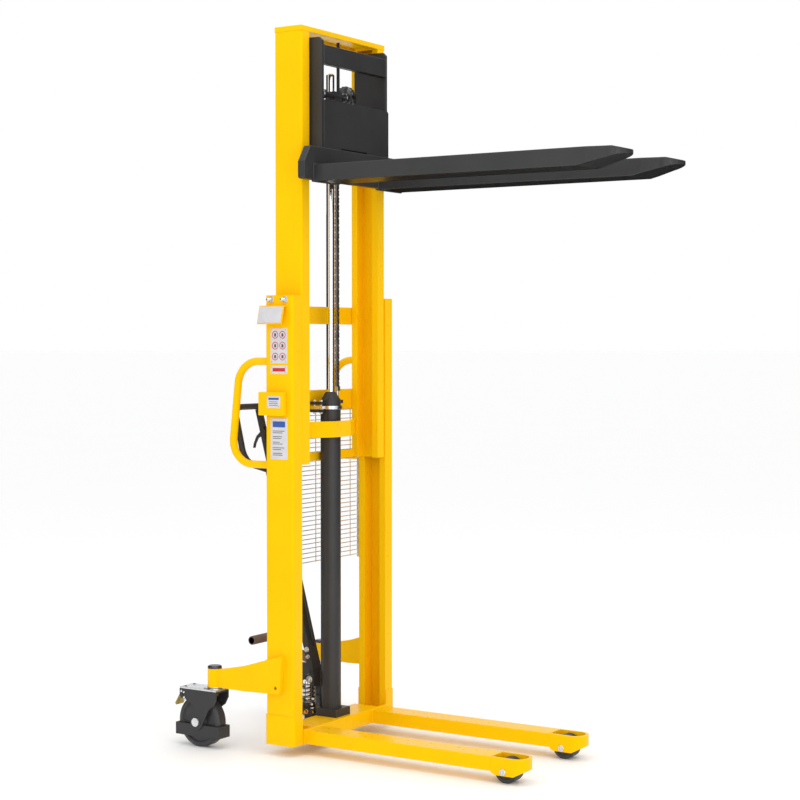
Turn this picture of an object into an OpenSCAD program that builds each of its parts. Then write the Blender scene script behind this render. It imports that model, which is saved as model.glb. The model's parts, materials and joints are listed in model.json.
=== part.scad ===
// Manual hydraulic hand stacker: a two-stage mast on two straddle legs, lifted by a hand or foot pump.
// Millimetres. +X is forward along the forks, +Z is up, and the floor is Z = 0.
// The origin is on the floor, under the middle of the whole machine.
// The forks are drawn raised. "Left" is +Y, as the operator behind the machine sees it.

/* [Mast] */
// Width across the two outer mast channels
mast_w = 630; // [610:2:660]
// Depth of the outer mast channels, front to back
mast_d = 116; // [112:1:120]
// Height of the outer mast above the floor
mast_h = 1580; // [1450:10:1700]
// Width of an outer mast channel
channel_w = 54; // [52:1:58]
// Thickness of a channel flange
flange_t = 25; // [18:1:26]
// Thickness of a channel web
web_t = 7; // [5:1:8]
// Length of the inner mast
inner_len = 1499; // [1400:1:1600]
// Travel of the inner mast; the forks travel twice as far
lift = 936; // [800:1:940]

/* [Base] */
// Clearance between the base frame and the floor
base_z = 38; // [34:1:42]
// Height of the top face of the front crossbeam
beam_top_z = 90; // [86:1:92]
// Reach of a straddle leg in front of the mast, up to its roller head
leg_len = 734; // [650:2:800]
// Width of a straddle leg
leg_w = 86; // [80:2:96]
// Distance from the middle of the machine to the middle of a leg
leg_y = 203; // [196:1:206]
// Height of the top face of a leg
leg_top_z = 85; // [80:1:86]
// Diameter of a load roller
roller_d = 80; // [74:1:82]

/* [Forks] */
// Distance from the mast front to the fork tips
fork_reach = 1200; // [1000:10:1250]
// Width across both forks
forks_w = 550; // [520:5:560]
// Width of one fork
fork_w = 150; // [140:2:160]
// Depth of a fork section
fork_h = 57; // [50:1:60]
// Height of the fork top faces when the forks are raised
fork_top_z = 2021; // [2015:1:2025]

/* [Lift] */
// Outer diameter of the lift cylinder
cylinder_d = 72; // [68:1:74]
// Diameter of the piston rod
rod_d = 30; // [26:1:32]
// Pitch diameter of the chain wheel
wheel_pitch_d = 72; // [68:1:74]

/* [Casters] */
// Diameter of a rear wheel
caster_d = 180; // [160:2:180]
// Width of a rear wheel
caster_w = 50; // [44:1:50]
// Trail of the rear wheel behind its swivel axis
trail = 55; // [45:1:60]
// Distance from the middle of the machine to a swivel axis
swivel_y = 325; // [320:1:335]

/* [Tiller] */
// Backward lean of the tiller
tiller_lean = 15; // [10:1:18]
// Length of the tiller from its pivot to the top of its loop
tiller_len = 1015; // [900:5:1050]
// Half the width of the tiller's loop
loop_half_w = 145; // [120:5:150]

/* [Hidden] */
$fn = 64;

// Gaps between pieces
run_fit = 0.05;    // radial clearance of a pin in its bore
roll_gap = 0.8;    // clearance of a roller inside its channel, each side
stage_gap = 1.5;   // sideways gap between the two mast stages
cut = 1;           // overshoot of a cutting shape

// Places along X, measured from the front face of the outer mast
swivel_x = -331;
axle_x = swivel_x - trail;
brake_tip_x = swivel_x - 163;
x_mid = (fork_reach + brake_tip_x) / 2;

// Outer mast
mast_out_y = mast_w / 2;
mast_in_y = mast_out_y - channel_w;
corner_r = 11;
sleeve_t = 3;
sleeve_rear_t = 4;
sleeve_top_z = 140;
cross_t = 8;
upper_cross_z = [1485, 1547];
lower_cross_z = [1177, 1250];

// Inner mast, drawn raised
inner_z = 64 + lift;
inner_top_z = inner_z + inner_len;
inner_out_y = mast_in_y - stage_gap;
inner_w = 46.5;
inner_in_y = inner_out_y - inner_w;
inner_x = 1 - mast_d;
inner_d = mast_d - 2;
top_plate_t = 19;
tie_t = 7;
front_tie_z = [1085, 1142];
rear_tie_z = [inner_z, inner_z + 29];

// Rollers of the two mast stages
roller_x = -mast_d / 2;
mast_roller_d = mast_d - 2 * flange_t - 2 * roll_gap;
mast_roller_w = 32;
mast_roller_z = inner_z + 42;
mast_roller_y = inner_out_y + 4;
carriage_roller_d = inner_d - 2 * flange_t - 2 * roll_gap;
carriage_roller_w = 31;
carriage_roller_y = inner_in_y + 3;
carriage_roller_z = [2140, 2420];
roller_pin_d = 25;

// Base
crossbeam_x = 8;
crossbeam_rear_x = -98;
base_plate_t = 12;
pump_plate_x = -205;
leg_wall = 5;
head_len = 122;
head_z = 27;
head_nose_r = 43;
head_open_x = [leg_len + 2, leg_len + 112];
head_open_w = 70;
load_roller_x = leg_len + 45;
load_roller_w = 60;
load_axle_d = 16;

// Lift cylinder, rod and chain
cyl_x = -62;
cyl_base_z = 118;
cyl_top_z = 1202;
head_top_z = 1241;
rod_top_z = 2368;
wheel_x = cyl_x + 26;
wheel_y = 56;
wheel_z = 2288;
wheel_r = wheel_pitch_d / 2;
chain_w = 14;
chain_t = 11;
chain_anchor_z = 1262;
chain_low_z = 2122;
lift_axle_d = 20;

// Carriage
side_y = [193, 205];
side_front_x = 46;
side_z = [2083, 2462];
carriage_plate_t = 8;
fork_beam_x = 32;
fork_beam_t = 28;
fork_beam_w = 656;
fork_beam_z = [1970, 2083];
fork_heel_x = fork_beam_x + fork_beam_t;
fork_bottom_z = fork_top_z - fork_h;
fork_wall = 6;
fork_bevel_x = fork_reach - 150;
fork_tip_t = 25;
fork_tip_r = 58;

// Casters
wheel_axle_z = caster_d / 2;
sleeve_d = 51;
sleeve_z = [216, 280];
caster_plate_z = [203, 209];
leg_plate_t = 6;
leg_plate_y = 31;
guard_wall = 4;
guard_z = [38, 80];
guard_half_l = caster_d / 2 + 2.5;
wheel_axle_d = 19.9;
stem_d = 29.7;
brake_pivot = [-448, 180];
brake_pin_d = 10;

// Pump and tiller
pump_x = -150;
pump_y = -14;
pump_front_x = -112;
pump_z = [88, 112];
pivot_x = -124;
pivot_z = 217;
pivot_d = 14;
rocker_roller_r = 11;
piston_top_z = pivot_z - rocker_roller_r - 0.35;
spring_z = [130, 196];
spring_d = 45;
spring_wire = 5.5;
loop_tube_d = 22;
shaft_size = [24, 48];
hub_h = 96;
loop_low = tiller_len - 255;
loop_top = tiller_len - loop_tube_d / 2;
collar_t = loop_low + 24;
trigger_t = tiller_len - 111;
trigger_pin_d = 5;
pedal_bar = [-352, 341];

yellow = "gold";
black = "#303030";
zinc = "silver";
steel = "gainsboro";

// ---- Shared shapes -------------------------------------------------------------------------------

// Puts the mast front face where the machine's frame has it
module placed() translate([-x_mid, 0, 0]) children();

// Draws a left-hand shape on the left, 1, or mirrored on the right, -1
module on_side(side) {
    placed() if (side > 0) children();
    else mirror([0, 1, 0]) children();
}

// A box from its lowest and highest corners
module block(low, high) translate(low) cube(high - low);

// A cylinder along Y
module along_y(x, y, z, len, d) translate([x, y, z]) rotate([-90, 0, 0]) cylinder(h = len, d = d);

// A plate of thickness len standing in the XZ plane, from an outline
module plate_xz(y, len) translate([0, y + len, 0]) rotate([90, 0, 0]) linear_extrude(len) children();

// A rectangle whose two outer corners are round
module round_outside(x, depth, y_in, y_out, corner) {
    translate([x, y_in]) square([depth, y_out - y_in - corner]);
    translate([x + corner, y_in]) square([depth - 2 * corner, y_out - y_in]);
    for (cx = [x + corner, x + depth - corner]) translate([cx, y_out - corner]) circle(r = corner);
}

// Outline of a C section whose web is on the outer side
module c_section(x, depth, y_in, y_out, corner) {
    difference() {
        round_outside(x, depth, y_in, y_out, corner);
        translate([x + flange_t, y_in - cut]) square([depth - 2 * flange_t, y_out - web_t - y_in + cut]);
    }
}

function unit(v) = v / norm(v);
function turn(a, b) = acos(min(1, a * b));
function side_of(a, b) = sign(a[0] * b[1] - a[1] * b[0]);

// A round tube bent in the XY plane: points are the corners, radii the bend at each inner corner.
// A bend is a hair thicker than the straight runs, which end just inside it.
module bent_tube(points, radii, d) {
    swell = 0.3;
    last = len(points) - 1;
    trim = [for (i = [0:last]) (i == 0 || i == last) ? 0 :
        radii[i - 1] * tan(turn(unit(points[i] - points[i - 1]), unit(points[i + 1] - points[i])) / 2)];
    for (i = [0:last - 1]) {
        dir = unit(points[i + 1] - points[i]);
        before = i == 0 ? 0 : cut;
        after = i == last - 1 ? 0 : cut;
        start = points[i] + dir * (trim[i] - before);
        run = norm(points[i + 1] - points[i]) - trim[i] - trim[i + 1] + before + after;
        translate([start[0], start[1], 0]) rotate([0, 0, atan2(dir[1], dir[0])]) rotate([0, 90, 0])
            cylinder(h = run, d = d);
    }
    for (i = [1:last - 1]) {
        a = unit(points[i] - points[i - 1]);
        b = unit(points[i + 1] - points[i]);
        s = side_of(a, b);
        r = radii[i - 1];
        centre = points[i] - a * trim[i] + [-a[1], a[0]] * s * r;
        first = s > 0 ? points[i] - a * trim[i] - centre : points[i] + b * trim[i] - centre;
        translate([centre[0], centre[1], 0]) rotate([0, 0, atan2(first[1], first[0])])
            rotate_extrude(angle = turn(a, b)) translate([r, 0]) circle(d = d + swell);
    }
}

// ---- Outer mast ----------------------------------------------------------------------------------

module outer_mast(side) {
    color(yellow) on_side(side) {
        translate([0, 0, base_z + 2]) linear_extrude(mast_h - base_z - 2)
            c_section(-mast_d, mast_d, mast_in_y, mast_out_y, corner_r);
        translate([0, 0, base_z]) linear_extrude(sleeve_top_z - base_z) difference() {
            round_outside(-mast_d - sleeve_rear_t, mast_d + sleeve_rear_t + sleeve_t, mast_in_y + 1,
                          mast_out_y + sleeve_t, corner_r + sleeve_t);
            translate([flange_t - mast_d, mast_in_y - cut])
                square([mast_d - 2 * flange_t, channel_w - web_t + cut]);
        }
    }
}

module outer_mast_right() outer_mast(-1);
module outer_mast_left() outer_mast(1);

module mast_cross_members() {
    reach = mast_in_y + 40;
    color(yellow) placed() {
        for (z = [upper_cross_z, lower_cross_z])
            block([-mast_d - cross_t, -reach, z[0]], [-mast_d, reach, z[1]]);
    }
}

// ---- Base ----------------------------------------------------------------------------------------

// Folded crossbeam, open below, with low plates beside it where the inner mast comes down
module base_frame() {
    wall = 6;
    beam_reach = inner_in_y - 7;
    lip_reach = mast_in_y - 1;
    color(yellow) placed() {
        difference() {
            union() {
                block([crossbeam_rear_x, -beam_reach, base_z], [0, beam_reach, beam_top_z]);
                block([0, -lip_reach, base_z], [crossbeam_x, lip_reach, beam_top_z]);
            }
            block([crossbeam_rear_x + wall, wall - beam_reach, base_z - cut],
                  [crossbeam_x - wall, beam_reach - wall, beam_top_z - wall]);
        }
        for (y = [-mast_in_y, beam_reach]) block([-mast_d, y, base_z],
                                                 [0, y + mast_in_y - beam_reach, base_z + base_plate_t]);
        block([pump_plate_x, -60, base_z], [crossbeam_rear_x, 60, base_z + base_plate_t]);
    }
}

// Plan outline of a leg with its round-nosed roller head
module leg_plan(x0, x1, half_w, nose_r) {
    translate([x0, -half_w]) square([x1 - x0 - nose_r, 2 * half_w]);
    translate([x1 - nose_r, -half_w + nose_r]) square([nose_r, 2 * (half_w - nose_r)]);
    for (y = [-1, 1]) translate([x1 - nose_r, y * (half_w - nose_r)]) circle(r = nose_r);
}

module leg(side) {
    head_end = leg_len + head_len;
    half_w = leg_w / 2;
    color(yellow) on_side(side) translate([0, leg_y, 0]) difference() {
        union() {
            block([crossbeam_x, -half_w, base_z], [leg_len + 20, half_w, leg_top_z]);
            intersection() {
                translate([0, 0, head_z]) linear_extrude(leg_top_z - head_z)
                    leg_plan(leg_len, head_end, half_w + 1, head_nose_r);
                rotate([90, 0, 0]) translate([0, 0, -leg_w]) linear_extrude(2 * leg_w)
                    polygon([[leg_len - 6, base_z], [leg_len + 14, head_z], [head_end - 40, head_z],
                             [head_end + 1, head_z + 22], [head_end + 1, leg_top_z + 1],
                             [leg_len - 6, leg_top_z + 1]]);
            }
        }
        // Hollow section, open only where it meets the crossbeam
        block([crossbeam_x - cut, -half_w + leg_wall, base_z + leg_wall],
              [leg_len - 12, half_w - leg_wall, leg_top_z - leg_wall]);
        // Roller opening, right through the head
        linear_extrude(leg_top_z + cut)
            leg_plan(head_open_x[0], head_open_x[1], head_open_w / 2, head_nose_r - 9);
        along_y(load_roller_x, -leg_w, roller_d / 2, 2 * leg_w, load_axle_d + 2 * run_fit);
    }
}

module leg_right() leg(-1);
module leg_left() leg(1);

module leg_roller_axles() {
    half_w = leg_w / 2 + 1;
    head = 5;
    color(zinc) for (side = [-1, 1]) on_side(side) translate([0, leg_y, 0]) {
        along_y(load_roller_x, -half_w, roller_d / 2, 2 * half_w, load_axle_d);
        along_y(load_roller_x, half_w, roller_d / 2, head, load_axle_d + 6);
        along_y(load_roller_x, -half_w - head, roller_d / 2, head, load_axle_d + 6);
    }
}

module leg_roller(side) {
    groove = 1.5;
    color("dimgray") on_side(side) translate([load_roller_x, leg_y, roller_d / 2]) rotate([90, 0, 0])
        difference() {
            union() {
                translate([0, 0, -load_roller_w / 2]) cylinder(h = load_roller_w, d = roller_d - 6);
                translate([0, 0, -load_roller_w / 2 + 3]) cylinder(h = load_roller_w - 6, d = roller_d);
            }
            translate([0, 0, -load_roller_w]) cylinder(h = 2 * load_roller_w, d = load_axle_d + 2 * run_fit);
            for (z = [-1, 1]) translate([0, 0, z * (load_roller_w / 2 - groove)]) rotate_extrude()
                translate([22, -groove - 1]) square([6, 2 * groove + 2]);
        }
}

module leg_roller_right() leg_roller(-1);
module leg_roller_left() leg_roller(1);

// ---- Caster arms and casters ---------------------------------------------------------------------

module caster_arms() {
    arm_y = mast_out_y;
    arm_t = 22;
    color(yellow) for (side = [-1, 1]) on_side(side) difference() {
        union() {
            plate_xz(arm_y, arm_t) polygon([[-34, 342], [-40, 347], [-120, 325], [-200, 300], [-260, 288],
                                            [-302, 280], [swivel_x, 280], [swivel_x, 216], [-200, 214],
                                            [-48, 218], [-42, 224]]);
            translate([swivel_x, swivel_y, sleeve_z[0]])
                cylinder(h = sleeve_z[1] - sleeve_z[0], d = sleeve_d);
        }
        translate([swivel_x, swivel_y, sleeve_z[0] - cut])
            cylinder(h = sleeve_z[1] - sleeve_z[0] + 2 * cut, d = 30);
        along_y(-60, arm_y - cut, 238, arm_t + 2 * cut, 12);
    }
}

module caster_stems() {
    color("dimgray") for (side = [-1, 1]) on_side(side) translate([swivel_x, swivel_y, 0]) {
        translate([0, 0, caster_plate_z[0] - 20])
            cylinder(h = sleeve_z[1] - caster_plate_z[0] + 20, d = stem_d);
        translate([0, 0, sleeve_z[1]]) cylinder(h = 7, d = 50);
        translate([0, 0, sleeve_z[1] + 7]) cylinder(h = 3, d1 = 50, d2 = 42);
    }
}

// Side plate of a caster fork, from its top plate down to a round end at the axle
module fork_plate_outline() {
    hull() {
        translate([axle_x, wheel_axle_z]) circle(d = 56);
        translate([swivel_x - 40, 188]) circle(d = 28);
        translate([swivel_x - 4, 150]) circle(d = 20);
    }
    polygon([[-460, 203], [-298, 203], [-298, 176], [-312, 150], [-352, 122], [-400, 150], [-436, 166],
             [-452, 168], [-460, 176]]);
}

module caster_fork(side) {
    color(black) on_side(side) translate([0, swivel_y, 0]) difference() {
        union() {
            for (y = [-leg_plate_y - leg_plate_t, leg_plate_y]) plate_xz(y, leg_plate_t) fork_plate_outline();
            difference() {
                block([axle_x - guard_half_l - guard_wall, -leg_plate_y, guard_z[0]],
                      [axle_x + guard_half_l + guard_wall, leg_plate_y, guard_z[1]]);
                block([axle_x - guard_half_l, guard_wall - leg_plate_y, guard_z[0] - cut],
                      [axle_x + guard_half_l, leg_plate_y - guard_wall, guard_z[1] + cut]);
            }
            block([-452, -leg_plate_y - leg_plate_t, 197], [-298, leg_plate_y + leg_plate_t, 203]);
            along_y(brake_pivot[0], -leg_plate_y - leg_plate_t - 3, brake_pivot[1],
                    2 * (leg_plate_y + leg_plate_t + 3), brake_pin_d);
        }
        along_y(axle_x, -60, wheel_axle_z, 120, wheel_axle_d);
        translate([swivel_x, 0, 190]) cylinder(h = 20, d = 30 + 2 * run_fit);
    }
}

module caster_fork_right() caster_fork(-1);
module caster_fork_left() caster_fork(1);

// Zinc top plate of the caster and the bolt that its wheel turns on
module caster_hardware(side) {
    reach = leg_plate_y + leg_plate_t;
    head = 7;
    color(zinc) on_side(side) translate([0, swivel_y, 0]) {
        difference() {
            block([-460, -reach, caster_plate_z[0]], [-298, reach, caster_plate_z[1]]);
            translate([swivel_x, 0, caster_plate_z[0] - cut]) cylinder(h = 10, d = 30 + 2 * run_fit);
        }
        along_y(axle_x, -reach, wheel_axle_z, 2 * reach, wheel_axle_d);
        for (y = [-reach - head, reach]) translate([axle_x, y, wheel_axle_z]) rotate([-90, 0, 0])
            cylinder(h = head, d = 30, $fn = 6);
    }
}

module caster_hardware_right() caster_hardware(-1);
module caster_hardware_left() caster_hardware(1);

module caster_wheel(side) {
    tread = 8;
    color("dimgray") on_side(side) translate([axle_x, swivel_y, wheel_axle_z]) rotate([90, 0, 0])
        rotate_extrude() polygon([[wheel_axle_d / 2 + run_fit, -caster_w / 2], [26, -caster_w / 2],
            [30, -caster_w / 2 + 8], [70, -caster_w / 2 + 8], [75, -caster_w / 2 + 2],
            [caster_d / 2 - tread, -caster_w / 2 + 2], [caster_d / 2, -caster_w / 2 + tread],
            [caster_d / 2, caster_w / 2 - tread], [caster_d / 2 - tread, caster_w / 2 - 2],
            [75, caster_w / 2 - 2], [70, caster_w / 2 - 8], [30, caster_w / 2 - 8],
            [26, caster_w / 2], [wheel_axle_d / 2 + run_fit, caster_w / 2]]);
}

module caster_wheel_right() caster_wheel(-1);
module caster_wheel_left() caster_wheel(1);

// Foot brake: a tongue for the toe behind its pivot, and a shoe over the wheel
module caster_brake(side) {
    half_w = 21;
    color("darkgoldenrod") on_side(side) translate([0, swivel_y, 0]) difference() {
        plate_xz(-half_w, 2 * half_w) polygon([[-440, 188], [-458, 188], [-472, 180], [brake_tip_x, 144],
            [brake_tip_x + 5, 137], [-474, 166], [-462, 168], [-457, 159], [-451, 157], [-444, 170],
            [-438, 178]]);
        along_y(brake_pivot[0], -half_w - cut, brake_pivot[1], 2 * (half_w + cut), brake_pin_d + 2 * run_fit);
    }
}

module caster_brake_right() caster_brake(-1);
module caster_brake_left() caster_brake(1);

// ---- Handles, guard and small fittings -----------------------------------------------------------

module push_handles() {
    handle_y = 290;
    top_z = 1354;
    low_z = 998;
    color(yellow) for (side = [-1, 1]) on_side(side) translate([0, handle_y, 0]) rotate([90, 0, 0])
        bent_tube([[-mast_d, top_z], [-243, top_z], [-281, low_z], [-mast_d, low_z]], [85, 80], 26);
}

// Guard of stiff horizontal wires behind the mast, on two flat end bars
module mesh_guard() {
    low_z = 637;
    pitch = 16.3;
    rows = 33;
    wire = 3;
    mesh_x = -mast_d - 8;
    reach = mast_in_y + 14;
    color("gainsboro") placed() {
        for (i = [0:rows]) along_y(mesh_x, -reach, low_z + i * pitch, 2 * reach, wire, $fn = 8);
        for (y = [-220, -110, 0, 110, 220]) translate([mesh_x - wire - 0.2, y, low_z - 4])
            cylinder(h = rows * pitch + 8, d = wire, $fn = 8);
        for (y = [-reach, reach - 18]) block([mesh_x + wire / 2 + 0.1, y, low_z - 10],
                                             [-mast_d, y + 18, low_z + rows * pitch - 1]);
    }
}

// Bent carriers for the rating plates, on the outside of the right mast channel
module label_brackets() {
    face_y = -mast_out_y;
    color(yellow) placed() {
        translate([-130, 0, 0]) rotate([90, 0, 90]) linear_extrude(105)
            polygon([[face_y, 1545], [face_y - 14, 1545], [face_y - 30, 1482], [face_y - 26, 1480],
                     [face_y - 11, 1539], [face_y, 1539]]);
        difference() {
            block([-130, face_y - 22, 1170], [-25, face_y, 1250]);
            block([-124, face_y - 16, 1150], [-31, face_y + cut, 1244]);
        }
    }
}

module label_plates() {
    face_y = -mast_out_y;
    sheet = 1.2;
    color(zinc) placed() {
        for (z = [[1348, 1467], [1312, 1340], [1020, 1160]])
            block([-92, face_y - sheet, z[0]], [-22, face_y, z[1]]);
        block([-91, face_y - 22 - sheet, 1196], [-36, face_y - 22, 1236]);
        translate([-126, 0, 0]) rotate([90, 0, 90]) linear_extrude(97)
            polygon([[face_y - 15.6, 1541], [face_y - 15.6 - sheet, 1541], [face_y - 29.7 - sheet, 1486],
                     [face_y - 29.7, 1486]]);
    }
}

module guide_pads() {
    color("ivory") for (side = [-1, 1]) on_side(side)
        for (z = [1500, 1400]) block([flange_t - mast_d, inner_out_y + 0.5, z],
                                     [-flange_t, mast_out_y - web_t, z + 60]);
}

module pad_bolts() {
    color(zinc) for (side = [-1, 1]) on_side(side) for (x = [-89, -31]) {
        along_y(x, mast_out_y, 1565, 26, 10);
        translate([x, mast_out_y, 1565]) rotate([-90, 0, 0]) cylinder(h = 8, d = 18, $fn = 6);
    }
}

// ---- Lift cylinder, rod and chain ----------------------------------------------------------------

module lift_cylinder() {
    foot = 45;
    bore = cylinder_d - 12;
    color(black) placed() difference() {
        union() {
            block([crossbeam_rear_x, -foot, beam_top_z], [-10, foot, cyl_base_z]);
            translate([cyl_x, 0, cyl_base_z]) cylinder(h = cyl_top_z - cyl_base_z, d = cylinder_d);
        }
        translate([cyl_x, 0, cyl_base_z + 12]) cylinder(h = cyl_top_z - cyl_base_z, d = bore);
    }
}

// Gland with a cone top and the ear that holds the chain anchor
module cylinder_head() {
    ear_z = 1206;
    color("dimgray") placed() difference() {
        union() {
            translate([cyl_x, 0, cyl_top_z]) cylinder(h = 14, d = cylinder_d + 2);
            translate([cyl_x, 0, cyl_top_z + 14])
                cylinder(h = head_top_z - cyl_top_z - 14, d1 = cylinder_d, d2 = rod_d + 9);
            block([cyl_x - 24, 10, ear_z - 4], [cyl_x + 6, wheel_y + 14, ear_z + 8]);
        }
        translate([cyl_x, 0, cyl_top_z - cut]) cylinder(h = 60, d = rod_d + 2 * run_fit);
        translate([wheel_x - wheel_r, wheel_y, ear_z - 20]) cylinder(h = 40, d = 12);
    }
}

module cylinder_clamp() {
    clamp_z = 1183;
    color(zinc) placed() difference() {
        union() {
            translate([cyl_x, 0, clamp_z]) cylinder(h = 12, d = cylinder_d + 12);
            block([-mast_d, -52, clamp_z], [cyl_x, -30, clamp_z + 12]);
            block([-mast_d, 30, clamp_z], [cyl_x, 52, clamp_z + 12]);
        }
        translate([cyl_x, 0, clamp_z - cut]) cylinder(h = 20, d = cylinder_d);
    }
}

// Bolt that ties the fixed end of the chain to the cylinder head
module chain_anchor() {
    x = wheel_x - wheel_r;
    low_z = 1195.2;
    color(zinc) placed() {
        translate([x, wheel_y, low_z]) cylinder(h = chain_anchor_z - low_z - 14, d = 12);
        translate([x, wheel_y, low_z]) cylinder(h = cyl_top_z - low_z, d = 20, $fn = 6);
        block([x - 8, wheel_y - 8, chain_anchor_z - 16], [x + 8, wheel_y + 8, chain_anchor_z]);
    }
}

module piston_rod() {
    foot_z = 1162;
    color(steel) placed() {
        translate([cyl_x, 0, foot_z]) cylinder(h = rod_top_z - foot_z - 4, d = rod_d);
        translate([cyl_x, 0, rod_top_z - 4]) cylinder(h = 4, d1 = rod_d, d2 = rod_d - 8);
        translate([cyl_x, 0, foot_z]) cylinder(h = 26, d = cylinder_d - 12 - 2 * 0.4);
    }
}

// Saddle on the rod, the axle of the chain wheel, and the strap up to the top plate
module rod_head() {
    color(black) placed() difference() {
        union() {
            block([cyl_x - 4, -24, wheel_z - 15], [wheel_x + 8, 24, wheel_z + 15]);
            along_y(wheel_x, -87, wheel_z, 87 + wheel_y + 12, lift_axle_d);
            block([wheel_x - 13, 20, wheel_z], [wheel_x - 3, 26, inner_top_z - top_plate_t]);
            along_y(wheel_x, -87, wheel_z, 14, lift_axle_d + 12);
        }
        translate([cyl_x, 0, wheel_z - 60]) cylinder(h = 120, d = rod_d);
    }
}

module chain_wheel() {
    teeth = 14;
    width = 18;
    groove = 3;
    color("dimgray") placed() translate([wheel_x, wheel_y, wheel_z]) rotate([90, 0, 0]) difference() {
        union() {
            translate([0, 0, -width / 2]) cylinder(h = width, r = wheel_r - chain_t / 2 - 0.4);
            for (z = [-width / 2, width / 2 - groove / 2]) translate([0, 0, z])
                cylinder(h = groove / 2, r = wheel_r - 2);
        }
        translate([0, 0, -width]) cylinder(h = 2 * width, d = lift_axle_d + 2 * run_fit);
        for (i = [0:teeth - 1]) rotate([0, 0, i * 360 / teeth]) translate([wheel_r + 1, 0, -width])
            cylinder(h = 2 * width, d = 8);
    }
}

module chain_strand(x, low, high) {
    color("dimgray") placed() block([x - chain_t / 2, wheel_y - chain_w / 2, low],
                                    [x + chain_t / 2, wheel_y + chain_w / 2, high]);
}

module chain_rear() chain_strand(wheel_x - wheel_r, chain_anchor_z, wheel_z);
module chain_front() chain_strand(wheel_x + wheel_r, chain_low_z, wheel_z);

// ---- Inner mast ----------------------------------------------------------------------------------

module inner_mast(side) {
    color(yellow) on_side(side) {
        translate([0, 0, inner_z]) linear_extrude(inner_len - top_plate_t)
            c_section(inner_x, inner_d, inner_in_y, inner_out_y, corner_r - 3);
        along_y(roller_x, inner_out_y, mast_roller_z, 3, roller_pin_d + 10);
        along_y(roller_x, inner_out_y, mast_roller_z, mast_roller_w + 2, roller_pin_d);
    }
}

module inner_mast_right() inner_mast(-1);
module inner_mast_left() inner_mast(1);

module inner_top_plate() {
    z = inner_top_z - top_plate_t;
    color(yellow) placed() difference() {
        block([inner_x, -inner_out_y, z], [inner_x + inner_d, inner_out_y, inner_top_z]);
        block([inner_x + 12, -inner_in_y, z - cut], [inner_x + inner_d - 8, inner_in_y, z + 9]);
    }
}

// Cross ties at the foot of the inner mast: the front one is bent round the lift cylinder, and the rear one
// passes between the cylinder and the pump
module inner_ties() {
    side_in = inner_in_y;
    color(yellow) placed() {
        translate([0, 0, front_tie_z[0]]) linear_extrude(front_tie_z[1] - front_tie_z[0])
            polygon([[-97, -side_in], [-11, -52], [-11, 52], [-97, side_in],
                     [-105, side_in], [-11 - tie_t, 50], [-11 - tie_t, -50], [-105, -side_in]]);
        translate([0, 0, rear_tie_z[0]]) linear_extrude(rear_tie_z[1] - rear_tie_z[0])
            polygon([[-107, -side_in], [-100, -70], [-100, 70], [-107, side_in],
                     [-114, side_in], [-105, 74], [-105, -74], [-114, -side_in]]);
    }
}

// A mast or carriage roller, facing outwards from y
module channel_roller(side, y, z, d, width) {
    color("dimgray") on_side(side) translate([roller_x, y, z]) rotate([-90, 0, 0]) difference() {
        union() {
            cylinder(h = width, d = d - 4);
            translate([0, 0, 2]) cylinder(h = width - 4, d = d);
        }
        translate([0, 0, -cut]) cylinder(h = width + 2 * cut, d = roller_pin_d + 2 * run_fit);
        translate([0, 0, width - 2]) rotate_extrude() translate([20, 0]) square([8, 2 + cut]);
    }
}

module mast_roller(side) channel_roller(side, mast_roller_y, mast_roller_z, mast_roller_d, mast_roller_w - 3);

module mast_roller_right() mast_roller(-1);
module mast_roller_left() mast_roller(1);

module carriage_roller(side, i)
    channel_roller(side, carriage_roller_y, carriage_roller_z[i], carriage_roller_d, carriage_roller_w);

module carriage_roller_upper_right() carriage_roller(-1, 1);
module carriage_roller_upper_left() carriage_roller(1, 1);
module carriage_roller_lower_right() carriage_roller(-1, 0);
module carriage_roller_lower_left() carriage_roller(1, 0);

// ---- Carriage and forks --------------------------------------------------------------------------

module carriage_side(side) {
    top_notch = 12;
    color(black) on_side(side) {
        plate_xz(side_y[0], side_y[1] - side_y[0])
            polygon([[-90, 2110], [-90, side_z[1] - 12], [-78, side_z[1]],
                     [side_front_x - top_notch, side_z[1]],
                     [side_front_x, side_z[1] - top_notch], [side_front_x, side_z[0]],
                     [fork_beam_x, side_z[0]], [fork_beam_x, fork_beam_z[0]], [2, fork_beam_z[0]],
                     [2, side_z[0]], [-60, side_z[0]]]);
        for (z = carriage_roller_z) {
            along_y(roller_x, side_y[1], z, carriage_roller_y - side_y[1] - 1, roller_pin_d + 10);
            along_y(roller_x, side_y[1], z, carriage_roller_y + carriage_roller_w + 2 - side_y[1],
                    roller_pin_d);
        }
    }
}

module carriage_side_right() carriage_side(-1);
module carriage_side_left() carriage_side(1);

module carriage_top_beam() {
    color(black) placed() block([side_front_x - 26, -side_y[0], 2372], [side_front_x, side_y[0], 2437]);
}

// Back plate of the carriage with the lug that holds the chain's moving end; a bar backs its slot
module carriage_plate() {
    chain_x = wheel_x + wheel_r;
    half_w = 200;
    low = side_z[0];
    high = 2250;
    color(black) placed() {
        difference() {
            translate([side_front_x, 0, 0]) rotate([90, 0, 90]) linear_extrude(carriage_plate_t)
                polygon([[-half_w, low], [half_w, low], [half_w, high - 8], [half_w - 8, high],
                         [8 - half_w, high], [-half_w, high - 8]]);
            block([side_front_x - cut, -100, low - cut], [side_front_x + 20, 60, low + 6]);
        }
        block([side_front_x - 6, -110, low], [side_front_x, 70, low + 16]);
        block([chain_x - 9, wheel_y - 11, 2100], [side_front_x, wheel_y + 11, 2112]);
        block([chain_x - 7, wheel_y - 7, 2112], [chain_x + 7, wheel_y + 7, chain_low_z]);
    }
}

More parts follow.
